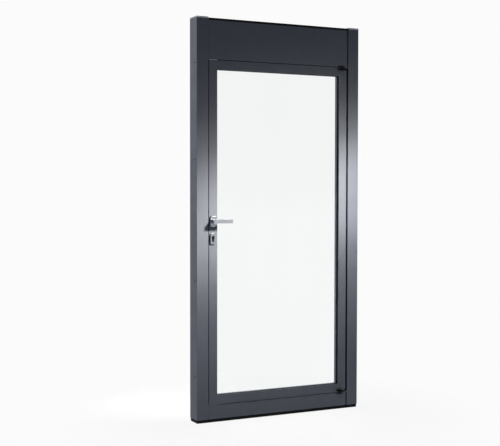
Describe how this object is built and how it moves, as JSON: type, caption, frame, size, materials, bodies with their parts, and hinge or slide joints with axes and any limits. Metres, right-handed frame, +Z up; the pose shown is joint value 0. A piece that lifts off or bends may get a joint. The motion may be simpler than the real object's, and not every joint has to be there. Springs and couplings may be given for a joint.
{
  "type": "glazed greenhouse door with frame",
  "caption": "Clear glass door leaf in a slim dark aluminium profile, on offset pivots between full-height posts, with a tall lintel panel, sill, lever handle and profile cylinder lock.",
  "frame": {"origin": "middle of the base seal's underside, on the floor", "axes": "+X to the hinge side, +Y inwards from the outer face, +Z up"},
  "size_m": [1.072, 0.146, 2.319],
  "materials": {
    "frame_coat": "satin powder coat",
    "seal_rubber": "matte",
    "cap_grey": "matte",
    "clear_glass": "clear",
    "satin_steel": "satin",
    "black_metal": "satin black",
    "zinc_steel": "zinc plated",
    "bush_nylon": "matte"
  },
  "bodies": {
    "frame": {"left_post": "frame_coat", "right_post": "frame_coat", "left_post_cap": "cap_grey", "right_post_cap": "cap_grey", "lintel": "frame_coat", "lintel_top_seal": "seal_rubber", "sill": "frame_coat", "base_seal": "seal_rubber", "joint_packers": "frame_coat", "lock_side_stop": "frame_coat", "hinge_side_stop": "frame_coat", "lintel_stop": "frame_coat", "sill_stop": "frame_coat", "stop_gaskets": "seal_rubber", "strike_plate": "satin_steel", "strike_screws": "zinc_steel", "top_pivot_arm": "frame_coat", "bottom_pivot_arm": "frame_coat", "pivot_arm_screws": "zinc_steel", "pivot_pins": "zinc_steel", "thrust_washer": "bush_nylon", "frame_cleats": "zinc_steel", "frame_screws": "zinc_steel"},
    "leaf": {"lock_stile": "frame_coat", "hinge_stile": "frame_coat", "top_rail": "frame_coat", "bottom_rail": "frame_coat", "lock_stile_top_cap": "cap_grey", "lock_stile_bottom_cap": "frame_coat", "top_pivot_plate": "black_metal", "bottom_pivot_plate": "black_metal", "pivot_bushes": "bush_nylon", "corner_cleats": "zinc_steel", "corner_screws": "zinc_steel", "glass_pane": "clear_glass", "outer_glazing_gasket": "seal_rubber", "inner_glazing_gasket": "seal_rubber", "setting_blocks": "seal_rubber", "left_bead": "frame_coat", "right_bead": "frame_coat", "top_bead": "frame_coat", "bottom_bead": "frame_coat", "lock_case": "zinc_steel", "faceplate": "satin_steel", "faceplate_screws": "zinc_steel", "lock_cylinder": "black_metal", "cylinder_screw": "zinc_steel", "outer_rose": "satin_steel", "inner_rose": "satin_steel", "outer_escutcheon": "satin_steel", "inner_escutcheon": "satin_steel"},
    "handle": {"outer_lever": "satin_steel", "inner_lever": "satin_steel", "spindle": "zinc_steel", "follower": "zinc_steel", "grub_screws": "black_metal"},
    "latch": {"latch_bolt": "satin_steel"},
    "bolt": {"dead_bolt": "satin_steel"},
    "key_plug": {"cylinder_plug": "black_metal"}
  },
  "joints": [
    {"name": "leaf_hinge", "type": "hinge", "parent": "frame", "child": "leaf", "pos_m": [0.428, -0.064, 1.089], "axis": [0, 0, 1], "range_deg": [0, 105]},
    {"name": "handle_turn", "type": "hinge", "parent": "leaf", "child": "handle", "pos_m": [-0.438, -0.025, 1.157], "axis": [0, 1, 0], "range_deg": [0, 40], "stiffness_Nm_per_rad": 1, "springref_deg": -40.11},
    {"name": "latch_slide", "type": "slide", "parent": "leaf", "child": "latch", "axis": [1, 0, 0], "range_m": [0, 0.012]},
    {"name": "key_turn", "type": "hinge", "parent": "leaf", "child": "key_plug", "pos_m": [-0.438, -0.025, 1.065], "axis": [0, 1, 0], "range_deg": [0, 360]},
    {"name": "bolt_slide", "type": "slide", "parent": "leaf", "child": "bolt", "axis": [-1, 0, 0], "range_m": [0, 0.02]}
  ],
  "couplings": [
    {"joint": "latch_slide", "follows": "handle_turn", "m_per_rad": 0.0171},
    {"joint": "key_turn", "follows": "bolt_slide", "rad_per_m": 314}
  ]
}
